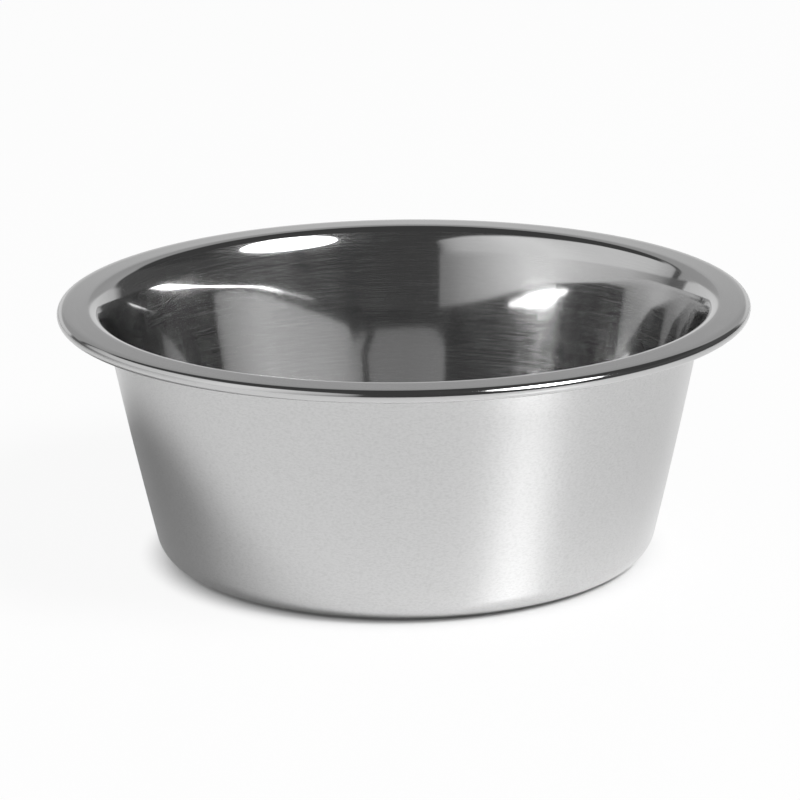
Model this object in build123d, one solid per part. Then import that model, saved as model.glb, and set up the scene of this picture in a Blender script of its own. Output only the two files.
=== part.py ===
from build123d import *
import math
import os

# Pet bowl pressed from one sheet of stainless steel.
#
# The sheet makes the flat base, a rounded corner, a leaning wall that stands out a little at half its height, a
# gentle flare and a rounder lip above it, a bend at the mouth, a flat flange and an edge that is rolled down and
# under. The whole bowl is one turned section.
#
# Frame: millimetres, +Z up, the origin on the table at the middle of the base.

# Driving sizes
rim_diameter = 210.0          # over the rolled edge
bowl_height = 79.0            # from the table to the top of the flange
base_diameter = 149.8         # where the outside of the wall, carried down, meets the table
flange_width = 13.6           # from the rolled edge in to the outside of the wall, carried up
wall_bulge = 0.52             # how far the wall stands out, at half its height, from a straight line
flare_depth = 15.3            # from the top of the flange down to where the wall begins to turn out
flare_radius = 150.0          # outside of the gentle curve by which it turns out
lip_depth = 7.2               # from the top of the flange down to where the flare turns into the lip
lip_radius = 14.0             # upper side of the lip
sheet_thickness = 0.6
base_corner_radius = 9.0      # outside of the rounded corner between base and wall
mouth_bend_radius = 4.0       # upper side of the bend between lip and flange
bead_diameter = 3.9           # outside of the rolled edge

# How far the edge is rolled, in degrees, from the flange outwards and under
bead_turn = 250.0

# Worked out from the sizes above
base_radius = base_diameter / 2
mouth_radius = rim_diameter / 2 - flange_width
bead_radius = bead_diameter / 2
bead_centre_radius = rim_diameter / 2 - bead_radius
bead_centre_height = bowl_height - bead_radius
flange_underside = bowl_height - sheet_thickness
lip_underside = lip_radius - sheet_thickness
bend_underside = mouth_bend_radius - sheet_thickness

# The wall is an arc over the straight line from its foot to the mouth
wall_line = math.hypot(mouth_radius - base_radius, flange_underside)
wall_radius = (wall_line ** 2 / 4 + wall_bulge ** 2) / (2 * wall_bulge)
wall_inset = (wall_radius - wall_bulge) / wall_line
wall_centre = (
    (base_radius + mouth_radius) / 2 - wall_inset * flange_underside,
    flange_underside / 2 + wall_inset * (mouth_radius - base_radius),
)

# The flare takes over from the wall where both have the same direction
flare_turn = math.asin((bowl_height - flare_depth - wall_centre[1]) / wall_radius)
flare_start = math.degrees(flare_turn)
flare_centre = (
    wall_centre[0] + (wall_radius + flare_radius) * math.cos(flare_turn),
    wall_centre[1] + (wall_radius + flare_radius) * math.sin(flare_turn),
)

# The lip takes over from the flare in the same way
lip_turn = math.pi - math.asin((bowl_height - lip_depth - flare_centre[1]) / flare_radius)
lip_start = math.degrees(lip_turn)
lip_centre = (
    flare_centre[0] + (flare_radius - lip_underside) * math.cos(lip_turn),
    flare_centre[1] + (flare_radius - lip_underside) * math.sin(lip_turn),
)


def arc_centre(neighbour, reach, height):
    """Centre of an arc that runs smoothly into its neighbour, and its direction from that centre, in degrees."""
    rise = height - neighbour[1]
    out = math.copysign(math.sqrt(reach ** 2 - rise ** 2), reach)
    return (neighbour[0] + out, height), math.degrees(math.atan2(rise, out))


corner_centre, corner_end = arc_centre(wall_centre, wall_radius - base_corner_radius, base_corner_radius)
bend_centre, bend_start = arc_centre(lip_centre, bend_underside - lip_underside, bowl_height - mouth_bend_radius)


def sheet_side(depth):
    """One side of the sheet from the axis to the end of the roll, that far in from its outer side."""
    level = flange_underside + depth
    with BuildLine() as side:
        Line((0, depth), (corner_centre[0], depth))
        CenterArc(corner_centre, base_corner_radius - depth, -90, corner_end + 90)
        CenterArc(wall_centre, wall_radius - depth, corner_end, flare_start - corner_end)
        CenterArc(flare_centre, flare_radius + depth, flare_start + 180, lip_start - flare_start - 180)
        CenterArc(lip_centre, lip_underside + depth, lip_start, bend_start - lip_start)
        CenterArc(bend_centre, bend_underside + depth, bend_start, 90 - bend_start)
        Line((bend_centre[0], level), (bead_centre_radius, level))
        roll = CenterArc(
            (bead_centre_radius, bead_centre_height), bead_radius - sheet_thickness + depth, 90, -bead_turn
        )
    return side.line, roll @ 1


def sheet_section():
    """Half of the bowl cut through its axis: the two sides of the sheet, joined at the axis and at the cut edge."""
    outer_side, outer_end = sheet_side(0)
    inner_side, inner_end = sheet_side(sheet_thickness)
    with BuildSketch(Plane.XZ) as section:
        with BuildLine():
            add(outer_side)
            Line(outer_end, inner_end)
            add(inner_side)
            Line((0, sheet_thickness), (0, 0))
        make_face()
    return section.sketch


def bowl():
    """The section turned once around the upright axis."""
    return revolve(sheet_section(), axis=Axis.Z, revolution_arc=360)


os.makedirs("parts", exist_ok=True)
export_step(bowl(), "parts/bowl.step")
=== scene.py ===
import math

import bpy
from bpy.props import FloatProperty, FloatVectorProperty, IntProperty, PointerProperty
from mathutils import Matrix, Vector


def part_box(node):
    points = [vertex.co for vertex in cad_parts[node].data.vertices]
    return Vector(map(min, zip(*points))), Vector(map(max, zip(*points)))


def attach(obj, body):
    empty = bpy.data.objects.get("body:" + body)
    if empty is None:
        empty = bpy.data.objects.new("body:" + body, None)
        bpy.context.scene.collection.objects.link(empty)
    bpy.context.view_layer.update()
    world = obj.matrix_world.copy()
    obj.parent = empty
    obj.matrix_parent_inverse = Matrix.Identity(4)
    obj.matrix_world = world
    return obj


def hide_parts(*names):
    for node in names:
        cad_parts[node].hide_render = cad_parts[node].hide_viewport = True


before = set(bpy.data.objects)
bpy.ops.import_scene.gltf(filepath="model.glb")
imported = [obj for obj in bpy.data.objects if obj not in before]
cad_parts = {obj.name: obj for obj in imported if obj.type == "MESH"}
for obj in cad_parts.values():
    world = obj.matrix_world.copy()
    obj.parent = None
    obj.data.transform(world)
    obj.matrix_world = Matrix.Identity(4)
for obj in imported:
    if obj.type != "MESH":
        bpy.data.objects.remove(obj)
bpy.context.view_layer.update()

bl_info = {
    "name": "Pressed Steel Pet Bowl",
    "version": (1, 0, 0),
    "blender": (4, 5, 0),
    "location": "View3D > Sidebar > Pet Bowl",
    "description": "Models a pet bowl pressed from one steel sheet, its finishes and a small photo studio",
    "category": "Add Mesh",
}

CAD_NODE = "bowl"
CAD_LOW, CAD_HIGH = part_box(CAD_NODE)

# Edges along each stretch of the section
CORNER_STEPS = 20
WALL_STEPS = 16
FLARE_STEPS = 10
LIP_STEPS = 20
BEND_STEPS = 16
FLANGE_STEPS = 6
BEAD_STEPS = 40
# Width of the ring at the edge of the flat base, in metres
BASE_RING = 0.001
# Faces that meet at a smaller angle are shaded as one curve
SMOOTH_ANGLE = math.radians(40)

# Polishing lines of each finish: roughness in the lines, how far they stretch the gloss, their depth in
# metres, and how often the pattern changes in a metre, across the lines and around the bowl
INSIDE_LINES = {
    "line_roughness": 0.40, "anisotropy": 0.6, "line_depth": 0.00000002,
    "across_count": 120000, "around_count": 60,
}
RIM_LINES = {
    "line_roughness": 0.16, "anisotropy": 0.3, "line_depth": 0.0000001,
    "across_count": 30000, "around_count": 60,
}
OUTSIDE_GRAIN = {
    "line_roughness": 0.26, "anisotropy": 0.3, "line_depth": 0.000002,
    "across_count": 1900, "around_count": 1050,
}
# Parts of the line pattern's range over which the colour and the roughness change
COLOUR_RANGE = (0.3, 0.6)
DULL_RANGE = (0.54, 0.70)
LINE_DETAIL = 3
# The gloss is stretched across the lines, a quarter of a whole turn from them
GLOSS_TURN = 0.25

# The room as the bowl sees it: degrees to the right from straight in front, and brightness
LOW_WALLS = (
    (-180, 0.78), (-139, 0.70), (-137, 0.15), (-127, 0.15), (-120, 0.33), (-100, 0.62), (-86, 0.68),
    (-75, 0.76), (-62, 0.95), (-52, 0.95), (-36, 0.64), (-19, 0.30), (-15.5, 0.27), (-14, 0.064),
    (25, 0.064), (140, 0.10), (147, 0.60), (160, 0.70), (180, 0.78),
)
HIGH_WALLS = (
    (-180, 0.38), (-131, 0.40), (-129.5, 0.10), (-126, 0.10), (-125, 0.50), (-113, 0.72), (-100, 0.79),
    (-90, 0.80), (-82, 0.83), (-64, 0.97), (-50, 0.90), (-35, 0.72), (-25, 0.61), (-20, 0.50),
    (-16.5, 0.33), (-14.5, 0.064), (25, 0.064), (70, 0.075), (144, 0.10), (147, 0.45), (180, 0.38),
)
# The same degrees, and how high the walls reach, as the upward part of a direction one long
WALL_TOPS = (
    (-180, 0.70), (-150, 0.58), (-137, 0.54), (-128, 0.63), (-120, 0.695), (-113, 0.75), (-102, 0.78),
    (-78, 0.82), (-58, 0.837), (-42, 0.823), (-35, 0.807), (-29, 0.78), (-23, 0.732), (-17, 0.666),
    (-10, 0.50), (140, 0.50), (152, 0.58), (165, 0.68), (180, 0.70),
)
# Heights between which the low walls turn into the high ones, and over which the tops fade out
WALL_CHANGE = (0.205, 0.265)
TOP_FADE = (-0.03, 0.03)
ROOM_DARK = 0.064
# The white card's far end leans back by this turn, times the backward part of a direction and the square
# of its upward part
CARD_LEAN = math.radians(101)
WHOLE_TURN = (-math.pi, math.pi)

SENSOR_WIDTH = 36
CAMERA_REACH = 100
FLOOR_SIZE = 40
# The floor lies a hair under the bowl, so that no two faces lie in one plane
FLOOR_DROP = 0.0002
FLOOR_ROUGHNESS = 0.28
FLOOR_GLOSS = 0.35
# Distances from the bowl's axis over which the shadow at its foot gives way to the white board, in metres
FOOT_SHADOW = (0.068, 0.083)
# Share of plain white that the camera and the steel see in the board
WHITE_SEEN = 0.92
WHITE_MIRRORED = 0.03
# The brighter middle hangs this far in front of the soft lamp, in metres
MIDDLE_AHEAD = 0.05


class BowlSizes(bpy.types.PropertyGroup):
    """Sizes of the pressed sheet, in metres and radians."""

    rim_diameter: FloatProperty(
        name="Rim Diameter", description="Across the rolled edge",
        default=CAD_HIGH.x - CAD_LOW.x, unit="LENGTH", precision=4)
    height: FloatProperty(
        name="Height", description="From the table to the top of the flange",
        default=CAD_HIGH.z - CAD_LOW.z, unit="LENGTH", precision=4)
    base_diameter: FloatProperty(
        name="Base Diameter", description="Where the outside of the wall, carried down, meets the table",
        default=0.1498, unit="LENGTH", precision=4)
    flange_width: FloatProperty(
        name="Flange Width", description="From the rolled edge in to the outside of the wall, carried up",
        default=0.0136, unit="LENGTH", precision=4)
    wall_bulge: FloatProperty(
        name="Wall Bulge",
        description="How far the wall stands out, at half its height, from a straight line",
        default=0.00052, min=0.00001, unit="LENGTH", precision=5)
    flare_depth: FloatProperty(
        name="Flare Depth",
        description="From the top of the flange down to where the wall begins to turn out",
        default=0.0153, unit="LENGTH", precision=4)
    flare_radius: FloatProperty(
        name="Flare Radius", description="Outside of the gentle curve by which the wall turns out",
        default=0.150, unit="LENGTH", precision=4)
    lip_depth: FloatProperty(
        name="Lip Depth", description="From the top of the flange down to where the flare turns into the lip",
        default=0.0072, unit="LENGTH", precision=4)
    lip_radius: FloatProperty(
        name="Lip Radius", description="Upper side of the lip's curve, below the bend",
        default=0.0140, unit="LENGTH", precision=4)
    sheet_thickness: FloatProperty(
        name="Sheet Thickness", description="Thickness of the steel",
        default=0.0006, unit="LENGTH", precision=4)
    base_corner_radius: FloatProperty(
        name="Base Corner Radius", description="Outside of the rounded corner between base and wall",
        default=0.0090, unit="LENGTH", precision=4)
    mouth_bend_radius: FloatProperty(
        name="Mouth Bend Radius", description="Upper side of the bend between lip and flange",
        default=0.0040, unit="LENGTH", precision=4)
    bead_diameter: FloatProperty(
        name="Bead Diameter", description="Outside of the rolled edge",
        default=0.0039, unit="LENGTH", precision=4)
    bead_turn: FloatProperty(
        name="Bead Turn", description="How far the edge is rolled, from the flange outwards and under",
        default=math.radians(250.0), subtype="ANGLE")
    round_steps: IntProperty(
        name="Round Steps", description="Edges in each ring of the bowl", default=256, min=16)


class BowlFinish(bpy.types.PropertyGroup):
    """Colours and polish of the steel."""

    steel_dark: FloatVectorProperty(
        name="Steel Dark", description="Colour in the polishing lines",
        default=(0.60, 0.60, 0.60), size=3, subtype="COLOR")
    steel_light: FloatVectorProperty(
        name="Steel Light", description="Colour between the polishing lines",
        default=(0.63, 0.63, 0.63), size=3, subtype="COLOR")
    satin_dark: FloatVectorProperty(
        name="Satin Dark", description="Colour in the grain of the outside",
        default=(0.568, 0.568, 0.568), size=3, subtype="COLOR")
    satin_light: FloatVectorProperty(
        name="Satin Light", description="Colour between the grain of the outside",
        default=(0.647, 0.647, 0.647), size=3, subtype="COLOR")
    inside_roughness: FloatProperty(
        name="Inside Roughness", description="Roughness of the polished inside",
        default=0.04, subtype="FACTOR")
    rim_roughness: FloatProperty(
        name="Rim Roughness", description="Roughness of the flange and the rolled edge",
        default=0.08, subtype="FACTOR")
    outside_roughness: FloatProperty(
        name="Outside Roughness", description="Roughness of the satin outside",
        default=0.18, subtype="FACTOR")


class StudioSettings(bpy.types.PropertyGroup):
    """Camera, floor and lamps."""

    lens: FloatProperty(
        name="Lens", description="Focal length on a 36 mm wide sensor, in millimetres", default=180.0)
    camera_back: FloatProperty(
        name="Camera Back", description="How far the camera stands in front of the bowl's axis",
        default=1.1757, unit="LENGTH", precision=4)
    camera_height: FloatProperty(
        name="Camera Height", description="Height of the camera above the table",
        default=0.3810, unit="LENGTH", precision=4)
    camera_tilt: FloatProperty(
        name="Camera Tilt", description="How far the camera looks down",
        default=math.radians(15.87), subtype="ANGLE")
    camera_turn: FloatProperty(
        name="Camera Turn", description="How far the camera looks to the right",
        default=math.radians(-0.07), subtype="ANGLE")
    camera_roll: FloatProperty(
        name="Camera Roll", description="How far the camera is rolled to the right",
        default=math.radians(0.64), subtype="ANGLE")
    key_turn: FloatProperty(
        name="Key Turn", description="Where the soft lamp stands, to the right from straight in front",
        default=math.radians(56.0), subtype="ANGLE")
    key_rise: FloatProperty(
        name="Key Rise", description="How high the soft lamp stands, seen from the bowl",
        default=math.radians(45.6), subtype="ANGLE")
    key_lean: FloatProperty(
        name="Key Lean", description="How far the soft lamp is turned in its own plane",
        default=math.radians(30.0), subtype="ANGLE")
    key_distance: FloatProperty(
        name="Key Distance", description="From the bowl to the soft lamp", default=4.0, unit="LENGTH")
    key_width: FloatProperty(
        name="Key Width", description="Width of the soft lamp", default=2.63, unit="LENGTH")
    key_length: FloatProperty(
        name="Key Length", description="Height of the soft lamp", default=2.22, unit="LENGTH")
    key_power: FloatProperty(
        name="Key Power", description="Power of the soft lamp, in watts", default=72.0)
    middle_width: FloatProperty(
        name="Middle Width", description="Width of the soft lamp's brighter middle",
        default=1.4, unit="LENGTH")
    middle_power: FloatProperty(
        name="Middle Power", description="Power of the soft lamp's brighter middle, in watts", default=108.0)
    floor_colour: FloatVectorProperty(
        name="Floor Colour", description="Colour of the floor",
        default=(0.86, 0.86, 0.86), size=3, subtype="COLOR")


def arc_points(centre, radius, start, turn, steps):
    """Points of an arc in the section, as (distance from the axis, height), without its first point."""
    points = []
    for step in range(1, steps + 1):
        angle = start + turn * step / steps
        points.append((centre[0] + radius * math.cos(angle), centre[1] + radius * math.sin(angle)))
    return points


def run_points(start, end, steps):
    """Evenly spaced points of a straight run in the section, without its first point."""
    return [
        (start[0] + (end[0] - start[0]) * step / steps, start[1] + (end[1] - start[1]) * step / steps)
        for step in range(1, steps + 1)
    ]


def arc_centre(neighbour, reach, height):
    """Centre of an arc that runs smoothly into its neighbour, and its direction from that centre."""
    rise = height - neighbour[1]
    out = math.copysign(math.sqrt(reach ** 2 - rise ** 2), reach)
    return (neighbour[0] + out, height), math.atan2(rise, out)


def bowl_section(sizes):
    """Upper side of the sheet: edge of the flat base, path up the inside, path over the rim."""
    thickness = sizes.sheet_thickness
    corner = sizes.base_corner_radius
    bend = sizes.mouth_bend_radius
    bead = sizes.bead_diameter / 2
    foot = sizes.base_diameter / 2
    mouth = sizes.rim_diameter / 2 - sizes.flange_width
    rise = sizes.height - thickness
    # The wall is an arc over the straight line from its foot to the mouth
    line = math.hypot(mouth - foot, rise)
    wall = (line ** 2 / 4 + sizes.wall_bulge ** 2) / (2 * sizes.wall_bulge)
    inset = (wall - sizes.wall_bulge) / line
    wall_centre = ((foot + mouth) / 2 - inset * rise, rise / 2 + inset * (mouth - foot))
    corner_centre, corner_end = arc_centre(wall_centre, wall - corner, corner)
    # The flare takes over from the wall where both have the same direction
    flare = sizes.flare_radius
    flare_start = math.asin((sizes.height - sizes.flare_depth - wall_centre[1]) / wall)
    flare_centre = (
        wall_centre[0] + (wall + flare) * math.cos(flare_start),
        wall_centre[1] + (wall + flare) * math.sin(flare_start))
    # The lip takes over from the flare in the same way
    lip = sizes.lip_radius
    lip_start = math.pi - math.asin((sizes.height - sizes.lip_depth - flare_centre[1]) / flare)
    lip_centre = (
        flare_centre[0] + (flare - lip + thickness) * math.cos(lip_start),
        flare_centre[1] + (flare - lip + thickness) * math.sin(lip_start))
    bend_centre, bend_start = arc_centre(lip_centre, bend - lip, sizes.height - bend)
    bead_centre = (sizes.rim_diameter / 2 - bead, sizes.height - bead)
    flat_edge = (corner_centre[0], thickness)
    inside_path = arc_points(
        corner_centre, corner - thickness, -math.pi / 2, math.pi / 2 + corner_end, CORNER_STEPS)
    inside_path += arc_points(wall_centre, wall - thickness, corner_end, flare_start - corner_end, WALL_STEPS)
    inside_path += arc_points(
        flare_centre, flare + thickness, flare_start + math.pi, lip_start - flare_start - math.pi,
        FLARE_STEPS)
    inside_path += arc_points(lip_centre, lip, lip_start, bend_start - lip_start, LIP_STEPS)
    rim_path = arc_points(bend_centre, bend, bend_start, math.pi / 2 - bend_start, BEND_STEPS)
    rim_path += run_points(rim_path[-1], (bead_centre[0], sizes.height), FLANGE_STEPS)
    rim_path += arc_points(bead_centre, bead, math.pi / 2, -sizes.bead_turn, BEAD_STEPS)
    return flat_edge, inside_path, rim_path


def deselect_everything():
    """Only what is made next is then touched by operators."""
    bpy.ops.object.select_all(action="DESELECT")


def draw_ring(previous, point):
    """Extrudes the selected ring to the next place of the section."""
    bpy.ops.mesh.extrude_edges_move(TRANSFORM_OT_translate={"value": (0, 0, point[1] - previous[1])})
    growth = point[0] / previous[0]
    bpy.ops.transform.resize(value=(growth, growth, 1), center_override=(0, 0, point[1]))


def add_node(tree, kind, **settings):
    """A new node with its settings."""
    node = tree.nodes.new(kind)
    for name, value in settings.items():
        setattr(node, name, value)
    return node


def feed(tree, socket, term):
    """Links another node's output to a socket, or sets the socket to a plain value."""
    if isinstance(term, bpy.types.NodeSocket):
        tree.links.new(term, socket)
    else:
        socket.default_value = term


def compute(tree, operation, *terms):
    """Output of a Math node, from numbers and other nodes' outputs."""
    node = add_node(tree, "ShaderNodeMath", operation=operation)
    for socket, term in zip(node.inputs, terms):
        feed(tree, socket, term)
    return node.outputs["Value"]


def compute_vector(tree, operation, *terms):
    """Output of a Vector Math node, from vectors and other nodes' outputs."""
    node = add_node(tree, "ShaderNodeVectorMath", operation=operation)
    for socket, term in zip(node.inputs, terms):
        feed(tree, socket, term)
    return node.outputs["Value" if operation == "LENGTH" else "Vector"]


def map_range(tree, value, old, new=(0, 1), blend="LINEAR"):
    """Output of a Map Range node, which takes one range of values to another."""
    node = add_node(tree, "ShaderNodeMapRange", interpolation_type=blend)
    feed(tree, node.inputs["Value"], value)
    feed(tree, node.inputs["From Min"], old[0])
    feed(tree, node.inputs["From Max"], old[1])
    feed(tree, node.inputs["To Min"], new[0])
    feed(tree, node.inputs["To Max"], new[1])
    return node.outputs["Result"]


def line_pattern(tree, across_count, around_count):
    """Noise drawn out around the bowl, so that it makes lines."""
    place = add_node(tree, "ShaderNodeTexCoord").outputs["Object"]
    axes = add_node(tree, "ShaderNodeSeparateXYZ")
    feed(tree, axes.inputs["Vector"], place)
    # Distance from the axis plus height grows all the way along the section
    from_axis = compute_vector(tree, "LENGTH", compute_vector(tree, "MULTIPLY", place, (1, 1, 0)))
    along = compute(tree, "ADD", from_axis, axes.outputs["Z"])
    across = add_node(tree, "ShaderNodeCombineXYZ")
    feed(tree, across.inputs["Z"], compute(tree, "MULTIPLY", along, across_count))
    around = compute_vector(tree, "MULTIPLY", place, (around_count, around_count, 0))
    lines = add_node(tree, "ShaderNodeTexNoise")
    feed(tree, lines.inputs["Vector"], compute_vector(tree, "ADD", around, across.outputs["Vector"]))
    feed(tree, lines.inputs["Scale"], 1)
    feed(tree, lines.inputs["Detail"], LINE_DETAIL)
    return lines.outputs["Fac"]


def brushed_steel(
        name, dark, light, roughness, line_roughness, anisotropy, line_depth, across_count, around_count):
    """Steel with the fine lines or the short grain that polishing leaves, running round the bowl."""
    material = bpy.data.materials.new(name)
    material.use_nodes = True
    tree = material.node_tree
    steel = tree.nodes["Principled BSDF"]
    steel.inputs["Metallic"].default_value = 1
    steel.inputs["Anisotropic"].default_value = anisotropy
    steel.inputs["Anisotropic Rotation"].default_value = GLOSS_TURN
    round_bowl = add_node(tree, "ShaderNodeTangent", direction_type="RADIAL", axis="Z")
    feed(tree, steel.inputs["Tangent"], round_bowl.outputs["Tangent"])
    # Colour, roughness and relief all follow the lines
    lines = line_pattern(tree, across_count, around_count)
    colour = add_node(tree, "ShaderNodeValToRGB")
    for stop, position, shade in zip(colour.color_ramp.elements, COLOUR_RANGE, (dark, light)):
        stop.position = position
        stop.color = (*shade, 1)
    feed(tree, colour.inputs["Fac"], lines)
    feed(tree, steel.inputs["Base Color"], colour.outputs["Color"])
    feed(tree, steel.inputs["Roughness"], map_range(tree, lines, DULL_RANGE, (roughness, line_roughness)))
    relief = add_node(tree, "ShaderNodeBump")
    feed(tree, relief.inputs["Strength"], 1)
    feed(tree, relief.inputs["Distance"], line_depth)
    feed(tree, relief.inputs["Height"], lines)
    feed(tree, steel.inputs["Normal"], relief.outputs["Normal"])
    return material


class PETBOWL_OT_bowl(bpy.types.Operator):
    """Draw the bowl up from a flat disc, roll its edge and give the sheet its thickness"""

    bl_idname = "petbowl.bowl"
    bl_label = "Bowl"
    bl_options = {"REGISTER", "UNDO"}

    def execute(self, context):
        sizes = context.scene.bowl_sizes
        finish = context.scene.bowl_finish
        flat_edge, inside_path, rim_path = bowl_section(sizes)
        # A narrow ring at the edge of the disc keeps the base flat in its shading
        disc_edge = (flat_edge[0] - BASE_RING, flat_edge[1])
        deselect_everything()
        bpy.ops.mesh.primitive_circle_add(
            vertices=sizes.round_steps, radius=disc_edge[0], fill_type="TRIFAN",
            location=(0, 0, disc_edge[1]))
        bowl = context.active_object
        bowl.name = "steel_bowl"
        bowl.data.name = "steel_bowl"
        bpy.ops.object.transform_apply(location=True, rotation=True, scale=True)
        bpy.ops.object.mode_set(mode="EDIT")
        bpy.ops.mesh.select_mode(type="EDGE")
        bpy.ops.mesh.select_all(action="SELECT")
        bpy.ops.mesh.region_to_loop()
        previous = disc_edge
        for point in [flat_edge] + inside_path + rim_path:
            draw_ring(previous, point)
            previous = point
        bpy.ops.mesh.select_all(action="SELECT")
        bpy.ops.mesh.normals_make_consistent(inside=False)
        bpy.ops.object.mode_set(mode="OBJECT")
        if bowl.data.polygons[0].normal.z < 0:
            bpy.ops.object.mode_set(mode="EDIT")
            bpy.ops.mesh.flip_normals()
            bpy.ops.object.mode_set(mode="OBJECT")
        bowl.data.materials.append(brushed_steel(
            "inside_polish", finish.steel_dark, finish.steel_light, finish.inside_roughness, **INSIDE_LINES))
        bowl.data.materials.append(brushed_steel(
            "rim_polish", finish.steel_dark, finish.steel_light, finish.rim_roughness, **RIM_LINES))
        bowl.data.materials.append(brushed_steel(
            "outside_satin", finish.satin_dark, finish.satin_light, finish.outside_roughness,
            **OUTSIDE_GRAIN))
        mouth = inside_path[-1][0]
        for face in bowl.data.polygons:
            if math.hypot(face.center.x, face.center.y) > mouth:
                face.material_index = 1
        # The new under side takes the third finish, and the under side of the rim with it
        bpy.ops.object.modifier_add(type="SOLIDIFY")
        sheet = bowl.modifiers[-1]
        sheet.thickness = sizes.sheet_thickness
        sheet.offset = -1
        sheet.use_even_offset = True
        sheet.material_offset = 2
        bpy.ops.object.modifier_apply(modifier=sheet.name)
        bpy.ops.object.shade_smooth_by_angle(angle=SMOOTH_ANGLE)
        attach(bowl, "root")
        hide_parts(CAD_NODE)
        return {"FINISHED"}


def ramp_by_direction(tree, share, stops):
    """Colour ramp over the whole turn, from pairs of degrees and brightness."""
    node = add_node(tree, "ShaderNodeValToRGB")
    ramp = node.color_ramp
    for number, (degrees, bright) in enumerate(stops):
        position = (degrees + 180) / 360
        if number == 0:
            stop = ramp.elements[0]
        elif number == len(stops) - 1:
            stop = ramp.elements[-1]
        else:
            stop = ramp.elements.new(position)
        stop.position = position
        stop.color = (bright, bright, bright, 1)
    feed(tree, node.inputs["Fac"], share)
    return node.outputs["Color"]


def mix_colours(tree, share, first, second):
    """Output of a colour Mix node, from plain colours and other nodes' outputs."""
    node = add_node(tree, "ShaderNodeMix", data_type="RGBA")
    feed(tree, node.inputs["Factor"], share)
    feed(tree, node.inputs["A"], first)
    feed(tree, node.inputs["B"], second)
    return node.outputs["Result"]


def studio_world():
    """A dark room with a white card on the left and a pale backdrop behind, by direction from the bowl."""
    world = bpy.data.worlds.new("studio")
    world.use_nodes = True
    tree = world.node_tree
    axes = add_node(tree, "ShaderNodeSeparateXYZ")
    feed(tree, axes.inputs["Vector"], add_node(tree, "ShaderNodeTexCoord").outputs["Generated"])
    right = axes.outputs["X"]
    back = axes.outputs["Y"]
    up = axes.outputs["Z"]
    turn = compute(tree, "ARCTAN2", right, compute(tree, "MULTIPLY", back, -1))
    # The far end of the card leans back as it rises
    behind = compute(tree, "MAXIMUM", back, 0)
    left_behind = compute(tree, "MULTIPLY", behind, compute(tree, "LESS_THAN", right, 0))
    leaning = compute(tree, "MULTIPLY", left_behind, compute(tree, "MULTIPLY", up, up))
    leaned_turn = compute(tree, "MULTIPLY_ADD", leaning, CARD_LEAN, turn)
    leaned_share = map_range(tree, leaned_turn, WHOLE_TURN)
    walls = mix_colours(
        tree, map_range(tree, up, WALL_CHANGE, blend="SMOOTHSTEP"),
        ramp_by_direction(tree, leaned_share, LOW_WALLS), ramp_by_direction(tree, leaned_share, HIGH_WALLS))
    # Over the tops of the walls the room is dark
    tops = ramp_by_direction(tree, map_range(tree, turn, WHOLE_TURN), WALL_TOPS)
    above = compute(tree, "SUBTRACT", up, tops)
    room = mix_colours(
        tree, map_range(tree, above, TOP_FADE, blend="SMOOTHSTEP"),
        walls, (ROOM_DARK, ROOM_DARK, ROOM_DARK, 1))
    feed(tree, tree.nodes["Background"].inputs["Color"], room)
    return world


def floor_material(colour):
    """Smooth pale board that looks white, and keeps the shadow of what stands on it."""
    material = bpy.data.materials.new("pale_board")
    material.use_nodes = True
    tree = material.node_tree
    board = tree.nodes["Principled BSDF"]
    board.inputs["Base Color"].default_value = (*colour, 1)
    board.inputs["Roughness"].default_value = FLOOR_ROUGHNESS
    board.inputs["Specular IOR Level"].default_value = FLOOR_GLOSS
    white = add_node(tree, "ShaderNodeEmission")
    white.inputs["Color"].default_value = (1, 1, 1, 1)
    white.inputs["Strength"].default_value = 1
    ray = add_node(tree, "ShaderNodeLightPath")
    # The camera sees the board as white, except at the foot of the bowl
    from_bowl = compute_vector(tree, "LENGTH", add_node(tree, "ShaderNodeTexCoord").outputs["Object"])
    clear_of_foot = map_range(tree, from_bowl, FOOT_SHADOW, blend="SMOOTHSTEP")
    away = compute(tree, "MULTIPLY", ray.outputs["Is Camera Ray"], clear_of_foot)
    seen = compute(tree, "MULTIPLY", away, WHITE_SEEN)
    # The steel mirrors a little of that white
    mirrored = compute(tree, "ADD", ray.outputs["Is Glossy Ray"], ray.outputs["Is Transmission Ray"])
    mix = add_node(tree, "ShaderNodeMixShader")
    feed(tree, mix.inputs["Fac"], compute(tree, "MULTIPLY_ADD", mirrored, WHITE_MIRRORED, seen))
    tree.links.new(board.outputs["BSDF"], mix.inputs[1])
    tree.links.new(white.outputs["Emission"], mix.inputs[2])
    feed(tree, tree.nodes["Material Output"].inputs["Surface"], mix.outputs["Shader"])
    return material


def set_camera(context, studio):
    """The camera looks down at the bowl from the front."""
    place = (0, -studio.camera_back, studio.camera_height)
    bpy.ops.object.camera_add(location=place)
    camera = context.active_object
    camera.name = "camera"
    camera.data.lens = studio.lens
    camera.data.sensor_width = SENSOR_WIDTH
    camera.data.clip_end = CAMERA_REACH
    turn = Matrix.Rotation(-studio.camera_turn, 4, "Z")
    tilt = Matrix.Rotation(math.pi / 2 - studio.camera_tilt, 4, "X")
    roll = Matrix.Rotation(-studio.camera_roll, 4, "Z")
    camera.matrix_world = Matrix.Translation(place) @ turn @ tilt @ roll
    context.scene.camera = camera


def lay_floor(context, studio):
    """A plain board under the bowl."""
    bpy.ops.mesh.primitive_plane_add(size=FLOOR_SIZE, location=(0, 0, -FLOOR_DROP))
    floor = context.active_object
    floor.name = "floor"
    floor.data.materials.append(floor_material(studio.floor_colour))


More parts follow.
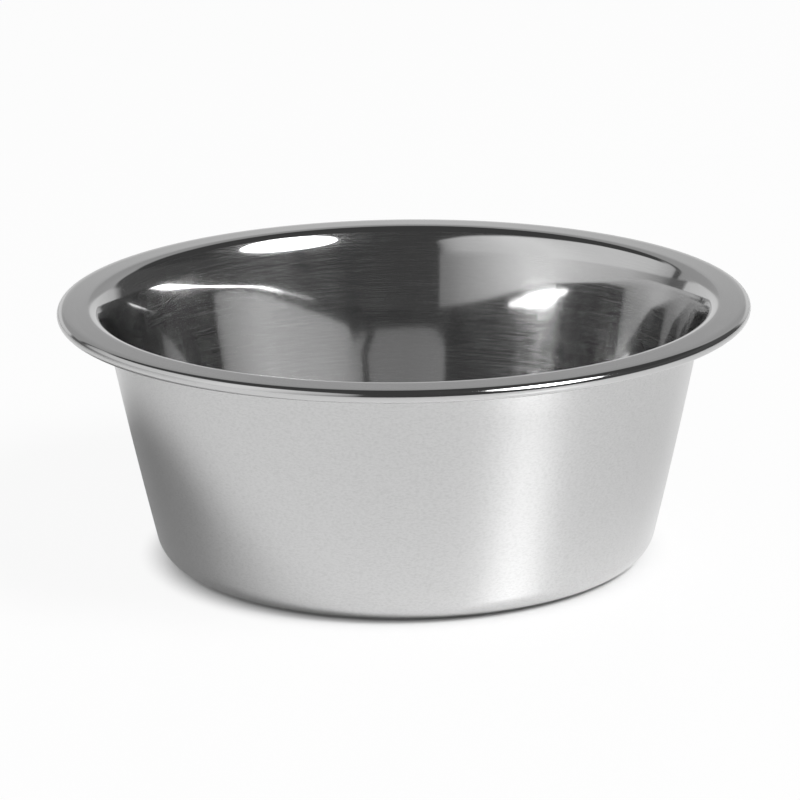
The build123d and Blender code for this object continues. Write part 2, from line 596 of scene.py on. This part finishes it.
def hang_lamps(context, studio):
    """An oval soft lamp with a brighter middle faces the bowl, and the camera itself doesn't see it."""
    level = studio.key_distance * math.cos(studio.key_rise)
    place = Vector((
        level * math.sin(studio.key_turn), -level * math.cos(studio.key_turn),
        studio.key_distance * math.sin(studio.key_rise)))
    facing = place.to_track_quat("Z", "Y").to_matrix() @ Matrix.Rotation(studio.key_lean, 3, "Z")
    for name, ahead, width, length, power in (
        ("soft_lamp", 0, studio.key_width, studio.key_length, studio.key_power),
        ("soft_lamp_middle", MIDDLE_AHEAD, studio.middle_width, studio.middle_width, studio.middle_power),
    ):
        spot = place * (1 - ahead / studio.key_distance)
        bpy.ops.object.light_add(type="AREA", location=spot, rotation=facing.to_euler())
        lamp = context.active_object
        lamp.name = name
        lamp.data.shape = "ELLIPSE"
        lamp.data.size = width
        lamp.data.size_y = length
        lamp.data.energy = power
        lamp.visible_camera = False


class PETBOWL_OT_stage(bpy.types.Operator):
    """Set up the camera, the floor, the lamps and the room"""

    bl_idname = "petbowl.stage"
    bl_label = "Stage"
    bl_options = {"REGISTER", "UNDO"}

    def execute(self, context):
        studio = context.scene.bowl_studio
        deselect_everything()
        set_camera(context, studio)
        lay_floor(context, studio)
        hang_lamps(context, studio)
        context.scene.world = studio_world()
        context.scene.view_settings.view_transform = "Standard"
        return {"FINISHED"}


class PETBOWL_PT_panel(bpy.types.Panel):
    """Lists the bowl's operators and sizes"""

    bl_idname = "PETBOWL_PT_panel"
    bl_label = "Pet Bowl"
    bl_space_type = "VIEW_3D"
    bl_region_type = "UI"
    bl_category = "Pet Bowl"

    def draw(self, context):
        for operator in OPERATORS:
            self.layout.operator(operator.bl_idname)
        for group in (context.scene.bowl_sizes, context.scene.bowl_finish, context.scene.bowl_studio):
            box = self.layout.box()
            for name in group.__annotations__:
                box.prop(group, name)


OPERATORS = (PETBOWL_OT_bowl, PETBOWL_OT_stage)
CLASSES = (BowlSizes, BowlFinish, StudioSettings) + OPERATORS + (PETBOWL_PT_panel,)


def register():
    for cls in CLASSES:
        bpy.utils.register_class(cls)
    bpy.types.Scene.bowl_sizes = PointerProperty(type=BowlSizes)
    bpy.types.Scene.bowl_finish = PointerProperty(type=BowlFinish)
    bpy.types.Scene.bowl_studio = PointerProperty(type=StudioSettings)


def unregister():
    del bpy.types.Scene.bowl_studio
    del bpy.types.Scene.bowl_finish
    del bpy.types.Scene.bowl_sizes
    for cls in reversed(CLASSES):
        bpy.utils.unregister_class(cls)


def main():
    register()
    bpy.ops.petbowl.bowl()
    bpy.ops.petbowl.stage()


if __name__ == "__main__":
    main()
